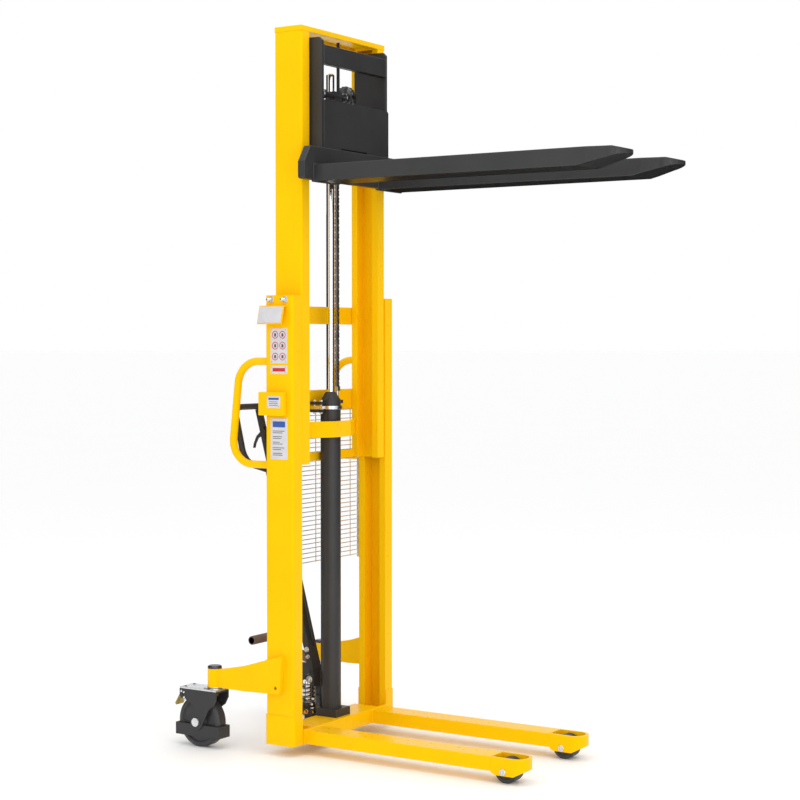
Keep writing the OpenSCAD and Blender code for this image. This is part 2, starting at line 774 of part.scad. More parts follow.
module fork_beam() {
    half_w = fork_beam_w / 2;
    color(black) placed() translate([fork_beam_x, 0, 0]) rotate([90, 0, 90]) linear_extrude(fork_beam_t)
        polygon([[-half_w, fork_beam_z[0] + 6], [-half_w + 6, fork_beam_z[0]], [half_w - 6, fork_beam_z[0]],
                 [half_w, fork_beam_z[0] + 6], [half_w, 2028], [half_w - 36, fork_beam_z[1]],
                 [36 - half_w, fork_beam_z[1]], [-half_w, 2028]]);
}

module fork(side) {
    half_w = fork_w / 2;
    fork_y = forks_w / 2 - half_w;
    tip_side = 14;
    color(black) on_side(side) translate([0, fork_y, 0]) difference() {
        intersection() {
            translate([0, 0, fork_bottom_z]) linear_extrude(fork_h) union() {
                polygon([[fork_heel_x, -half_w], [fork_bevel_x + 30, -half_w],
                         [fork_reach - fork_tip_r, tip_side - half_w],
                         [fork_reach - fork_tip_r, half_w - tip_side],
                         [fork_bevel_x + 30, half_w], [fork_heel_x, half_w]]);
                for (y = [-1, 1]) translate([fork_reach - fork_tip_r, y * (half_w - tip_side - fork_tip_r)])
                    circle(r = fork_tip_r);
                translate([fork_reach - fork_tip_r, -half_w + tip_side + fork_tip_r])
                    square([fork_tip_r, 2 * (half_w - tip_side - fork_tip_r)]);
            }
            translate([0, fork_w, 0]) rotate([90, 0, 0]) linear_extrude(2 * fork_w)
                polygon([[fork_heel_x, fork_bottom_z], [fork_bevel_x, fork_bottom_z],
                         [fork_reach - 35, fork_top_z - fork_tip_t - 4],
                         [fork_reach + 1, fork_top_z - fork_tip_t + 4],
                         [fork_reach + 1, fork_top_z - 9], [fork_reach - 40, fork_top_z],
                         [fork_heel_x, fork_top_z]]);
        }
        // Hollow section, open only where it meets the fork beam
        block([fork_heel_x - cut, fork_wall - half_w, fork_bottom_z + fork_wall],
              [fork_bevel_x - 12, half_w - fork_wall, fork_top_z - fork_wall]);
    }
}

module fork_right() fork(-1);
module fork_left() fork(1);

// ---- Pump and tiller -----------------------------------------------------------------------------

module pump_body() {
    block_rear_x = -196;
    half_w = 48;
    bore_z = 90;
    color(black) placed() difference() {
        union() {
            block([block_rear_x, -half_w, pump_z[0]], [pump_front_x, half_w, pump_z[1]]);
            block([block_rear_x + 6, 16, base_z + base_plate_t], [-125, half_w, pump_z[0]]);
            translate([pump_x, pump_y, 100]) cylinder(h = 30, d = 50);
            translate([-172, 28, 100]) cylinder(h = 84, d = 40);
        }
        translate([pump_x, pump_y, bore_z]) cylinder(h = 100, d = 20 + 2 * run_fit);
    }
}

// Plate behind the lift cylinder with two ears and the pin that the tiller turns on
module tiller_bracket() {
    half_w = 46;
    ear_t = 8;
    plate_t = 5.5;
    head_z = [192, 242];
    color(black) placed() {
        translate([pump_front_x, 0, 0]) rotate([90, 0, 90]) linear_extrude(plate_t)
            polygon([[0, pump_z[0]], [half_w, pump_z[0]], [half_w, head_z[1]], [-half_w, head_z[1]],
                     [-half_w, head_z[0]], [0, head_z[0]]]);
        for (y = [-half_w, half_w - ear_t]) plate_xz(y, ear_t) {
            polygon([[pump_front_x, head_z[0]], [pump_front_x, head_z[1]], [pivot_x + 4, pivot_z + 12],
                     [pivot_x, pivot_z], [pivot_x + 2, pivot_z - 12]]);
            translate([pivot_x, pivot_z]) circle(r = 12);
        }
        along_y(pivot_x, -half_w - 4, pivot_z, 2 * (half_w + 4), pivot_d);
    }
}

module valve_fitting() {
    z = 101;
    color("goldenrod") placed() {
        along_y(-176, -60, z, 12, 16);
        along_y(-134, -60, z, 12, 14);
        translate([pump_front_x, -38, z]) rotate([0, 90, 0]) cylinder(h = 5.5, d = 18, $fn = 6);
    }
}

// Return spring of the pump piston: a hollow sleeve of the spring's outer shape
module pump_spring() {
    color(steel) placed() translate([pump_x, pump_y, spring_z[0]]) difference() {
        cylinder(h = spring_z[1] - spring_z[0], d = spring_d);
        translate([0, 0, -cut]) cylinder(h = 100, d = spring_d - 2 * spring_wire);
    }
}

module pump_piston() {
    foot_z = 112;
    color(steel) placed() translate([pump_x, pump_y, 0]) {
        translate([0, 0, foot_z]) cylinder(h = piston_top_z - foot_z, d = 20);
        translate([0, 0, spring_z[1]]) cylinder(h = piston_top_z - spring_z[1], d = 40);
    }
}

// Places a shape drawn up the tiller: Z runs along its shaft from the pivot
module along_tiller() translate([pivot_x, 0, pivot_z]) rotate([0, -tiller_lean, 0]) children();

// Thick lower part of the shaft and the thinner bar that crosses the loop
module shaft_bars() {
    translate([-shaft_size[0] / 2, -shaft_size[1] / 2, hub_h])
        cube([shaft_size[0], shaft_size[1], collar_t - hub_h]);
    translate([-8, -12, collar_t]) cube([16, 24, loop_top - loop_tube_d / 2 - collar_t]);
}

module tiller_shaft() {
    hub_w = 28;
    roller_len = 22;
    color(black) placed() {
        difference() {
            union() {
                along_y(pivot_x, -hub_w, pivot_z, 2 * hub_w, 23);
                along_tiller() {
                    translate([-10.5, 2 - hub_w, 0]) cube([21, 2 * hub_w - 4, hub_h]);
                    shaft_bars();
                }
                // Arm and roller that press the pump piston
                plate_xz(pump_y - 8, 16) polygon([[pivot_x, pivot_z - 8], [pump_x, pivot_z - 5],
                                                  [pump_x, pivot_z + 6], [pivot_x, pivot_z + 30]]);
                along_y(pump_x, pump_y - roller_len / 2, pivot_z, roller_len, 2 * rocker_roller_r);
            }
            along_y(pivot_x, -60, pivot_z, 120, pivot_d + 2 * run_fit);
            // Grooves that part the shaft into twin bars
            for (side = [-1, 1]) along_tiller() translate([side * shaft_size[0] / 2 - 3, -9, hub_h + 14])
                cube([6, 18, loop_low - hub_h - 40]);
            // Slot for the release trigger
            along_tiller() translate([-20, -5, trigger_t - 20]) cube([40, 10, 44]);
        }
        along_tiller() along_y(0, -9, trigger_t, 18, trigger_pin_d);
    }
}

module tiller_loop() {
    out_w = loop_half_w + 4;
    in_w = loop_half_w - 4;
    root_w = shaft_size[1] / 2 - 6;
    color(black) placed() along_tiller() difference() {
        rotate([90, 0, 90]) bent_tube([[-root_w, loop_low + 5], [-out_w, loop_low + 42], [-in_w, loop_top],
            [in_w, loop_top], [out_w, loop_low + 42], [root_w, loop_low + 5]], [62, 34, 34, 62], loop_tube_d);
        translate([-30, -shaft_size[1] / 2, loop_low - 40]) cube([60, shaft_size[1], 80]);
    }
}

module tiller_trigger() {
    color(black) placed() along_tiller() translate([0, 0, trigger_t]) difference() {
        rotate([90, 0, 0]) translate([0, 0, -4]) linear_extrude(8)
            polygon([[6, -8], [6, 8], [-12, 8], [-34, -4], [-52, -26], [-60, -42], [-54, -44], [-46, -30],
                     [-30, -13], [-10, -8]]);
        along_y(0, -8, 0, 16, trigger_pin_d + 2 * run_fit);
    }
}

module foot_pedal() {
    bar_low = -85;
    bar_high = 60;
    // The arm's front end lies on the shaft's leaning rear face
    function rear_face(z) = pivot_x - (z - pivot_z) * tan(tiller_lean) - 10.6 / cos(tiller_lean);
    color("#6b5a4c") placed() {
        along_y(pedal_bar[0], bar_low, pedal_bar[1], bar_high - bar_low, 30);
        plate_xz(-10, 20) polygon([[pedal_bar[0], pedal_bar[1] - 8], [-306, 316], [-162, 268],
                                   [rear_face(268), 268], [rear_face(300), 300], [-300, 338],
                                   [pedal_bar[0], pedal_bar[1] + 10]]);
    }
}

outer_mast_right();
outer_mast_left();
mast_cross_members();
base_frame();
leg_right();
leg_left();
leg_roller_axles();
caster_arms();
caster_stems();
push_handles();
mesh_guard();
label_brackets();
label_plates();
guide_pads();
pad_bolts();
lift_cylinder();
cylinder_head();
cylinder_clamp();
chain_anchor();
pump_body();
tiller_bracket();
valve_fitting();
pump_spring();
inner_mast_right();
inner_mast_left();
inner_top_plate();
inner_ties();
piston_rod();
rod_head();
chain_rear();
chain_front();
chain_wheel();
mast_roller_right();
mast_roller_left();
carriage_side_right();
carriage_side_left();
carriage_top_beam();
carriage_plate();
fork_beam();
fork_right();
fork_left();
carriage_roller_upper_right();
carriage_roller_upper_left();
carriage_roller_lower_right();
carriage_roller_lower_left();
leg_roller_right();
leg_roller_left();
caster_fork_right();
caster_fork_left();
caster_hardware_right();
caster_hardware_left();
caster_wheel_right();
caster_wheel_left();
caster_brake_right();
caster_brake_left();
tiller_shaft();
tiller_loop();
tiller_trigger();
pump_piston();
foot_pedal();
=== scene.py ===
import json
import math

import bmesh
import bpy
from mathutils import Matrix, Vector


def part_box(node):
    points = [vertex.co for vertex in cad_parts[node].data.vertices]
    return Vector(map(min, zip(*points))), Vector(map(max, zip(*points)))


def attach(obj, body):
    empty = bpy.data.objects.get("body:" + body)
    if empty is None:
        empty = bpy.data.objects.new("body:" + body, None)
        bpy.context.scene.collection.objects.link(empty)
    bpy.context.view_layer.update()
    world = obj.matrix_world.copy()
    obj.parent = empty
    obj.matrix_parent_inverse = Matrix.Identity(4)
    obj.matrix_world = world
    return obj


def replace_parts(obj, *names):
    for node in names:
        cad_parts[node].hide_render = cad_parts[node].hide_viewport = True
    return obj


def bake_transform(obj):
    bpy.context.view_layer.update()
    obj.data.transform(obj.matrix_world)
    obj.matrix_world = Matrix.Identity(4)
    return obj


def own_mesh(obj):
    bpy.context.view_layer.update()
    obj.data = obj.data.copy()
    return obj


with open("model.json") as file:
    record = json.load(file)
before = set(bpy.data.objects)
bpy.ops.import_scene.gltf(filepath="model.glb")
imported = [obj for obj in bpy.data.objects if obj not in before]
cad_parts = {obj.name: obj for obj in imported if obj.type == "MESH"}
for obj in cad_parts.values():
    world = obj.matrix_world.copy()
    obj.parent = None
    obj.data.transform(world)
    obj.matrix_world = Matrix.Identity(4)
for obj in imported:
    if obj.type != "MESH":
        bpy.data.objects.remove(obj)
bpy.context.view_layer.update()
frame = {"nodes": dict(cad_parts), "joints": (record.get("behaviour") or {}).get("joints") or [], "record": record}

X, Y, Z = Vector((1, 0, 0)), Vector((0, 1, 0)), Vector((0, 0, 1))
SIDES = {"right": -1, "left": 1}
JOINTS = {joint["name"]: joint for joint in frame["joints"]}
CAMERA_TIP = 1.76
# The camera's level heading
AHEAD_X, AHEAD_Y = -0.5373, 0.8434
# Blender's Mix node, for colours: sockets A, B and Result
MIX_A, MIX_B, MIX_RESULT = 6, 7, 2
CHAIN_PITCH = 0.0127


# ---- Camera, light and floor ---------------------------------------------------------------------

def make_camera():
    """Eye level, from the front right, tipped down a little."""
    data = bpy.data.cameras.new("camera")
    data.lens = 80.4
    data.sensor_width = 36
    camera = bpy.data.objects.new("camera", data)
    camera.location = (3.207, -5.226, 1.410)
    camera.rotation_mode = "QUATERNION"
    tip = math.radians(CAMERA_TIP)
    ahead = Vector((AHEAD_X * math.cos(tip), AHEAD_Y * math.cos(tip), -math.sin(tip)))
    camera.rotation_quaternion = ahead.to_track_quat("-Z", "Y")
    bpy.context.scene.collection.objects.link(camera)
    bpy.context.scene.camera = camera


def area_light(name, place, target, size, power):
    data = bpy.data.lights.new(name, "AREA")
    data.shape = "RECTANGLE"
    data.size, data.size_y = size
    data.energy = power
    light = bpy.data.objects.new(name, data)
    light.location = place
    light.rotation_mode = "QUATERNION"
    light.rotation_quaternion = (Vector(target) - Vector(place)).to_track_quat("-Z", "Y")
    bpy.context.scene.collection.objects.link(light)


def make_studio():
    scene = bpy.context.scene
    scene.view_settings.view_transform = "Standard"
    world = bpy.data.worlds.new("studio")
    world.use_nodes = True
    world.node_tree.nodes["Background"].inputs["Color"].default_value = (1, 1, 1, 1)
    world.node_tree.nodes["Background"].inputs["Strength"].default_value = 1.0
    scene.world = world
    area_light("top_light", (0.4, -0.6, 5.2), (0, 0, 1.2), (2.5, 2.5), 60)
    area_light("strip_light", (3.9, -2.5, 1.6), (0, 0, 1.2), (0.4, 3.2), 22)
    area_light("front_strip", (2.2, -4.4, 1.5), (0, 0, 1.2), (0.35, 2.6), 14)
    make_cards()
    make_floor()


def make_cards():
    """Dark cards, seen only in reflections.

    Tall ones beside the object draw the edges of chrome and black enamel. A low wide one behind it darkens the
    undersides of the forks.
    """
    toward_camera = math.atan2(-AHEAD_Y, -AHEAD_X)
    # Degrees round from the camera, distance, half width, bottom and top
    cards = [(offset, 3.4, 1.1, -1.0, 4.0) for offset in (90, 125, -90, -125)]
    cards.append((180, 1.2, 1.8, 0.8, 1.95))
    for number, (offset, away, half_width, bottom, top) in enumerate(cards):
        angle = toward_camera + math.radians(offset)
        middle = Vector((away * math.cos(angle), away * math.sin(angle), 0))
        across = Vector((-math.sin(angle), math.cos(angle), 0)) * half_width
        mesh = bpy.data.meshes.new(f"dark_card_{number}")
        mesh.from_pydata([middle - across + Z * bottom, middle + across + Z * bottom,
                          middle + across + Z * top, middle - across + Z * top], [], [[0, 1, 2, 3]])
        card = bpy.data.objects.new(f"dark_card_{number}", mesh)
        bpy.context.scene.collection.objects.link(card)
        mesh.materials.append(card_material())
        card.visible_camera = card.visible_diffuse = card.visible_shadow = False


def make_floor():
    mesh = bpy.data.meshes.new("floor")
    radius, sides = 400, 96
    ring = [(radius * math.cos(i * math.tau / sides), radius * math.sin(i * math.tau / sides), 0)
            for i in range(sides)]
    mesh.from_pydata(ring, [], [list(range(sides))])
    floor = bpy.data.objects.new("floor", mesh)
    bpy.context.scene.collection.objects.link(floor)
    mesh.materials.append(floor_material())


# ---- Materials -----------------------------------------------------------------------------------

class Look:
    """One procedural material: a Principled shader with noise worked into its colour, gloss and bump."""

    def __init__(self, name, **sockets):
        self.material = bpy.data.materials.new(name)
        self.material.use_nodes = True
        self.tree = self.material.node_tree
        self.shader = self.tree.nodes["Principled BSDF"]
        self.place = self.tree.nodes.new("ShaderNodeTexCoord").outputs["Object"]
        self.normal = None
        for socket, value in sockets.items():
            self.shader.inputs[socket.replace("_", " ")].default_value = value

    def link(self, source, target):
        self.tree.links.new(source, target)

    def stretch(self, scale):
        """Object coordinates with each axis scaled, for grain that runs one way."""
        node = self.tree.nodes.new("ShaderNodeMapping")
        node.inputs["Scale"].default_value = scale
        self.link(self.place, node.inputs["Vector"])
        return node.outputs["Vector"]

    def noise(self, scale, detail=3, grain=None):
        node = self.tree.nodes.new("ShaderNodeTexNoise")
        node.inputs["Scale"].default_value = scale
        node.inputs["Detail"].default_value = detail
        self.link(grain or self.place, node.inputs["Vector"])
        return node.outputs["Fac"]

    def ramp(self, value, low, high, low_value, high_value):
        node = self.tree.nodes.new("ShaderNodeMapRange")
        sockets = {"From Min": low, "From Max": high, "To Min": low_value, "To Max": high_value}
        for socket, number in sockets.items():
            node.inputs[socket].default_value = number
        self.link(value, node.inputs["Value"])
        return node.outputs["Result"]

    def mix(self, value, first, second):
        node = self.tree.nodes.new("ShaderNodeMix")
        node.data_type = "RGBA"
        node.inputs[MIX_A].default_value = (*first, 1)
        node.inputs[MIX_B].default_value = (*second, 1)
        self.link(value, node.inputs["Factor"])
        self.link(node.outputs[MIX_RESULT], self.shader.inputs["Base Color"])
        return node

    def colours(self, value, first, second):
        """The base colour goes from first to second as value goes from 0 to 1."""
        self.mix(value, first, second)

    def undersides(self, colour):
        """Painted shade: a plain colour where the surface faces down, in place of the one it has elsewhere."""
        elsewhere = self.shader.inputs["Base Color"].links[0].from_socket
        parts = self.tree.nodes.new("ShaderNodeSeparateXYZ")
        self.link(self.tree.nodes.new("ShaderNodeTexCoord").outputs["Normal"], parts.inputs["Vector"])
        node = self.mix(self.ramp(parts.outputs["Z"], -0.85, -0.6, 0, 1), colour, colour)
        self.link(elsewhere, node.inputs[MIX_B])

    def gloss(self, value):
        self.link(value, self.shader.inputs["Roughness"])

    def bump(self, value, strength, depth):
        """Adds a layer of bump, depth metres high, over the layers before it."""
        node = self.tree.nodes.new("ShaderNodeBump")
        node.inputs["Strength"].default_value = strength
        node.inputs["Distance"].default_value = depth
        self.link(value, node.inputs["Height"])
        if self.normal:
            self.link(self.normal, node.inputs["Normal"])
        self.normal = node.outputs["Normal"]
        self.link(self.normal, self.shader.inputs["Normal"])


def paint(name, light, dark, gloss, peel, shine=0.35, tint=(1, 1, 1), below=None):
    """Sprayed enamel: faint cloudiness, orange peel, and fine dust in the gloss.

    below is a darker colour for faces that look down. It stands for deep shade and isn't a property of the
    real paint.
    """
    look = Look(name, Specular_IOR_Level=shine, Specular_Tint=(*tint, 1))
    look.colours(look.ramp(look.noise(6, 4), 0.3, 0.7, 0, 1), light, dark)
    if below:
        look.undersides(below)
    look.gloss(look.ramp(look.noise(45, 5), 0.3, 0.7, gloss[0], gloss[1]))
    look.bump(look.noise(420, 2), 0.35, peel)
    look.bump(look.noise(30, 2), 0.25, peel)
    return look.material


def metal(name, light, dark, gloss, grain=(1, 1, 1), grain_scale=300, depth=0.00003, metallic=1.0):
    """Bare or plated metal with a grain that can run one way."""
    look = Look(name, Metallic=metallic)
    grained = look.noise(grain_scale, 4, look.stretch(grain))
    look.colours(look.ramp(look.noise(25, 4), 0.3, 0.7, 0, 1), light, dark)
    look.gloss(look.ramp(grained, 0.3, 0.7, gloss[0], gloss[1]))
    look.bump(grained, 0.3, depth)
    return look.material


def plastic(name, light, dark, gloss, scale, depth):
    """Moulded nylon or rubber with a fine matt grain."""
    look = Look(name, Specular_IOR_Level=0.5)
    look.colours(look.ramp(look.noise(12, 4), 0.3, 0.7, 0, 1), light, dark)
    look.gloss(look.ramp(look.noise(60, 4), 0.3, 0.7, gloss[0], gloss[1]))
    look.bump(look.noise(scale, 3), 0.5, depth)
    return look.material


def card_material():
    look = Look("dark_card", Specular_IOR_Level=0.0, Roughness=1.0)
    look.colours(look.noise(2, 2), (0.010, 0.010, 0.010), (0.014, 0.014, 0.014))
    return look.material


def floor_material():
    look = Look("studio_floor", Specular_IOR_Level=0.2)
    look.colours(look.noise(0.8, 2), (0.975, 0.975, 0.975), (0.985, 0.985, 0.985))
    look.gloss(look.ramp(look.noise(3, 2), 0.3, 0.7, 0.55, 0.65))
    return look.material


def make_materials():
    return {
        "yellow_paint": paint("yellow_paint", (0.98, 0.56, 0.002), (0.95, 0.53, 0.002), (0.26, 0.34),
                              0.00002, 0.22, (1.0, 0.8, 0.06)),
        # The black paint's below colour is painted shade on its undersides
        "black_paint": paint("black_paint", (0.036, 0.036, 0.037), (0.029, 0.029, 0.030), (0.30, 0.42),
                             0.00006, below=(0.004, 0.004, 0.004)),
        "zinc_plate": metal("zinc_plate", (0.78, 0.79, 0.80), (0.66, 0.67, 0.70), (0.22, 0.36)),
        "hard_chrome": metal("hard_chrome", (0.86, 0.87, 0.88), (0.80, 0.81, 0.83), (0.05, 0.10),
                             (1, 1, 12), 200, 0.00001),
        "nylon_wheel": plastic("nylon_wheel", (0.040, 0.040, 0.043), (0.026, 0.026, 0.029), (0.38, 0.55),
                               500, 0.00006),
        "bare_steel": metal("bare_steel", (0.36, 0.36, 0.37), (0.20, 0.20, 0.21), (0.24, 0.40)),
        "brake_brass": metal("brake_brass", (0.42, 0.33, 0.09), (0.33, 0.25, 0.06), (0.28, 0.42)),
        "brass_fitting": metal("brass_fitting", (0.86, 0.50, 0.12), (0.78, 0.40, 0.08), (0.18, 0.30)),
        "white_nylon": plastic("white_nylon", (0.80, 0.79, 0.75), (0.72, 0.71, 0.67), (0.45, 0.6),
                               300, 0.00005),
        "label_sheet": metal("label_sheet", (0.82, 0.81, 0.84), (0.74, 0.73, 0.76), (0.30, 0.42),
                             (1, 1, 30), 120, 0.00001, 0.4),
        "galvanised_wire": metal("galvanised_wire", (0.86, 0.87, 0.88), (0.72, 0.73, 0.75), (0.28, 0.42)),
        "blued_steel": metal("blued_steel", (0.13, 0.12, 0.16), (0.07, 0.065, 0.09), (0.24, 0.38)),
        "pedal_rubber": plastic("pedal_rubber", (0.20, 0.135, 0.095), (0.14, 0.09, 0.065), (0.5, 0.7),
                                400, 0.0001),
    }


MATERIALS = make_materials()


# ---- Shapes --------------------------------------------------------------------------------------

def facing(point, direction, up=Z):
    """A placement at point whose own Z axis runs along direction."""
    axis = Vector(direction).normalized()
    side = up.cross(axis)
    if side.length < 1e-6:
        side = X if abs(axis.z) > 0.9 else Z.cross(axis)
    side.normalize()
    turned = Matrix((side, axis.cross(side), axis)).transposed()
    return Matrix.Translation(Vector(point)) @ turned.to_4x4()


class Shape:
    """Vertices and faces of one piece, gathered before they become a mesh."""

    def __init__(self):
        self.verts = []
        self.faces = []

    def add(self, verts, faces, place=Matrix.Identity(4)):
        base = len(self.verts)
        self.verts += [place @ Vector(v) for v in verts]
        self.faces += [[base + i for i in face] for face in faces]

    def lathe(self, profile, place, sides=40, ring=False, turn=0.0):
        """Turns (radius, height) points about the placement's Z axis. A ring's profile closes on itself."""
        verts, loops, faces = [], [], []
        for radius, height in profile:
            count = sides if radius > 0 else 1
            loops.append([len(verts) + i for i in range(count)])
            angles = [turn + i * math.tau / sides for i in range(count)]
            verts += [(radius * math.cos(a), radius * math.sin(a), height) for a in angles]
        for low, high in zip(loops, loops[1:] + (loops[:1] if ring else [])):
            for i in range(sides):
                j = (i + 1) % sides
                face = [low[i % len(low)], low[j % len(low)], high[j % len(high)], high[i % len(high)]]
                face = list(dict.fromkeys(face))
                if len(face) > 2:
                    faces.append(face)
        if not ring:
            faces += [loop for loop in (loops[0][::-1], loops[-1]) if len(loop) > 2]
        self.add(verts, faces, place)

    def slab(self, outline, place, height):
        """Extrudes an outline of (x, y) points along the placement's Z axis."""
        count = len(outline)
        verts = [(x, y, 0) for x, y in outline] + [(x, y, height) for x, y in outline]
        faces = [list(range(count))[::-1], list(range(count, 2 * count))]
        faces += [[i, (i + 1) % count, count + (i + 1) % count, count + i] for i in range(count)]
        self.add(verts, faces, place)

    def tube(self, points, radii, sides=10, closed=False):
        """Sweeps a circle along points. radii is one number, or one for each point."""
        points = [Vector(p) for p in points]
        count = len(points)
        if not isinstance(radii, (list, tuple)):
            radii = [radii] * count
        tangents = []
        for i in range(count):
            ahead = points[(i + 1) % count] if closed else points[min(i + 1, count - 1)]
            behind = points[i - 1] if closed or i else points[0]
            tangents.append((ahead - behind).normalized())
        side = tangents[0].orthogonal().normalized()
        verts = []
        for point, tangent, radius in zip(points, tangents, radii):
            side = (side - tangent * side.dot(tangent)).normalized()
            other = tangent.cross(side)
            verts += [point + (side * math.cos(a) + other * math.sin(a)) * radius
                      for a in (k * math.tau / sides for k in range(sides))]
        faces = []
        for i in range(count if closed else count - 1):
            low, high = i * sides, (i + 1) % count * sides
            faces += [[low + k, low + (k + 1) % sides, high + (k + 1) % sides, high + k]
                      for k in range(sides)]
        if not closed:
            faces += [list(range(sides))[::-1], [(count - 1) * sides + k for k in range(sides)]]
        self.add(verts, faces)

    def weld(self, corners, radius=0.003, closed=False):
        """A rippled weld bead along straight runs between corners."""
        corners = [Vector(c) for c in corners]
        if closed:
            corners.append(corners[0])
        ripple, samples = 0.0045, 3
        points, radii = [], []
        for start, end in zip(corners, corners[1:]):
            steps = max(2, round((end - start).length / ripple * samples))
            for i in range(steps):
                points.append(start.lerp(end, i / steps))
                radii.append(radius * (1 + 0.16 * math.cos(math.tau * len(radii) / samples)))
        if not closed:
            points.append(corners[-1])
            radii.append(radius * 0.6)
            radii[0] = radius * 0.6
        self.tube(points, radii, 8, closed)

    def weld_ring(self, centre, axis, ring_radius, radius=0.003):
        place = facing(centre, axis)
        corners = 28
        angles = [i * math.tau / corners for i in range(corners)]
        self.weld([place @ Vector((ring_radius * math.cos(a), ring_radius * math.sin(a), 0)) for a in angles],
                  radius, closed=True)

    def washer(self, point, direction, inner, outer, thick):
        edge = thick * 0.25
        self.lathe([(inner, 0), (outer - edge, 0), (outer, edge), (outer, thick - edge),
                    (outer - edge, thick), (inner, thick)], facing(point, direction), ring=True)

    def hex_head(self, point, direction, radius, height):
        """A hexagon nut or bolt head with its corners turned down at the top."""
        self.lathe([(radius, 0), (radius, height * 0.78), (radius * 0.9, height * 0.96),
                    (radius * 0.6, height)], facing(point, direction), sides=6)

    def thread(self, point, direction, radius, length, pitch=0.0015):
        """The end of a threaded stud."""
        turns = max(2, int(length / pitch))
        profile = [(radius * 0.9, 0)]
        for i in range(turns):
            profile += [(radius, (i + 0.5) * length / turns), (radius * 0.9, (i + 1) * length / turns)]
        profile.append((radius * 0.7, length + pitch * 0.4))
        self.lathe(profile, facing(point, direction), sides=20)

    def dome(self, point, direction, radius, height):
        """A button head: a short rim under a flat dome."""
        rim = 0.3
        profile = [(radius, 0), (radius, height * rim)]
        for i in range(1, 6):
            angle = i * math.pi / 10
            profile.append((radius * math.cos(angle), height * (rim + (1 - rim) * math.sin(angle))))
        profile[-1] = (0, height)
        self.lathe(profile, facing(point, direction), sides=32)


def solids(node):
    """Lowest and highest corners of each separate solid of a CAD node."""
    work = bmesh.new()
    work.from_mesh(frame["nodes"][node].data)
    bmesh.ops.remove_doubles(work, verts=work.verts, dist=1e-5)
    boxes, seen = [], set()
    for start in work.verts:
        if start in seen:
            continue
        seen.add(start)
        stack, low, high = [start], start.co.copy(), start.co.copy()
        while stack:
            vert = stack.pop()
            low, high = Vector(map(min, low, vert.co)), Vector(map(max, high, vert.co))
            for edge in vert.link_edges:
                other = edge.other_vert(vert)
                if other not in seen:
                    seen.add(other)
                    stack.append(other)
        boxes.append((low, high))
    work.free()
    return boxes


def pivot(joint):
    return Vector(JOINTS[joint]["pos_m"])


def at(node, x, y, z):
    """A point of a CAD node's box: along each axis, 0 is its lowest side and 1 its highest."""
    low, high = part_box(node)
    return Vector([a + (b - a) * t for a, b, t in zip(low, high, (x, y, z))])


def shade(mesh, angle=38):
    mesh.shade_smooth()
    mesh.set_sharp_from_angle(angle=math.radians(angle))


def bevelled(piece, width, segments=2, angle=32):
    """Rounds the edges with geometry and keeps the flat faces flat in the shading."""
    weld = piece.modifiers.new("weld", "WELD")
    weld.merge_threshold = 1e-5
    flat = piece.modifiers.new("flat", "DECIMATE")
    flat.decimate_type = "DISSOLVE"
    flat.angle_limit = math.radians(0.4)
    bevel = piece.modifiers.new("bevel", "BEVEL")
    bevel.width = width
    bevel.segments = segments
    bevel.limit_method = "ANGLE"
    bevel.angle_limit = math.radians(angle)
    normals = piece.modifiers.new("normals", "WEIGHTED_NORMAL")
    normals.keep_sharp = True


def add_piece(name, shape, slot, body, bevel=0.0, material=None):
    """Turns a gathered shape into a piece that rides on a body."""
    mesh = bpy.data.meshes.new(name)
    mesh.from_pydata(shape.verts, [], shape.faces)
    work = bmesh.new()
    work.from_mesh(mesh)
    bmesh.ops.recalc_face_normals(work, faces=work.faces)
    work.to_mesh(mesh)
    work.free()
    shade(mesh)
    piece = bpy.data.objects.new(name, mesh)
    bpy.context.scene.collection.objects.link(piece)
    mesh.materials.append(material or MATERIALS[slot])
    if bevel:
        bevelled(piece, bevel)
    if body:
        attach(piece, body)
    return piece


# ---- The CAD nodes -------------------------------------------------------------------------------

# Width of the rounded edges, in metres, and the nodes that have it
BEVELS = {
    0.006: ["leg_right", "leg_left"],
    0.0035: ["label_brackets", "fork_right", "fork_left", "base_frame"],
    0.002: ["outer_mast_right", "outer_mast_left", "inner_mast_right", "inner_mast_left",
            "inner_top_plate", "inner_ties", "mast_cross_members", "fork_beam", "carriage_plate",
            "carriage_top_beam", "carriage_side_right", "carriage_side_left", "lift_cylinder",
            "tiller_shaft", "foot_pedal"],
    0.0012: ["caster_arms", "caster_fork_right", "caster_fork_left", "caster_wheel_right",
             "caster_wheel_left", "pump_body", "rod_head", "cylinder_head", "guide_pads",
             "leg_roller_right", "leg_roller_left", "tiller_trigger", "caster_brake_right",
             "caster_brake_left"],
    0.0006: ["cylinder_clamp", "chain_anchor", "caster_stems", "caster_hardware_right",
             "caster_hardware_left", "chain_wheel", "pump_piston", "piston_rod", "mast_roller_right",
             "mast_roller_left", "tiller_bracket", "carriage_roller_upper_right",
             "carriage_roller_upper_left", "carriage_roller_lower_right", "carriage_roller_lower_left"],
}


def finish_nodes():
    """Gives every CAD node its material, and most of them rounded edges."""
    for part in frame["record"]["subparts"]:
        node = frame["nodes"][part["node"]]
        node.data.materials.clear()
        node.data.materials.append(MATERIALS[part["material_slot"]])
    for width, nodes in BEVELS.items():
        for node in nodes:
            bevelled(frame["nodes"][node], width)


# ---- Chain and spring ----------------------------------------------------------------------------

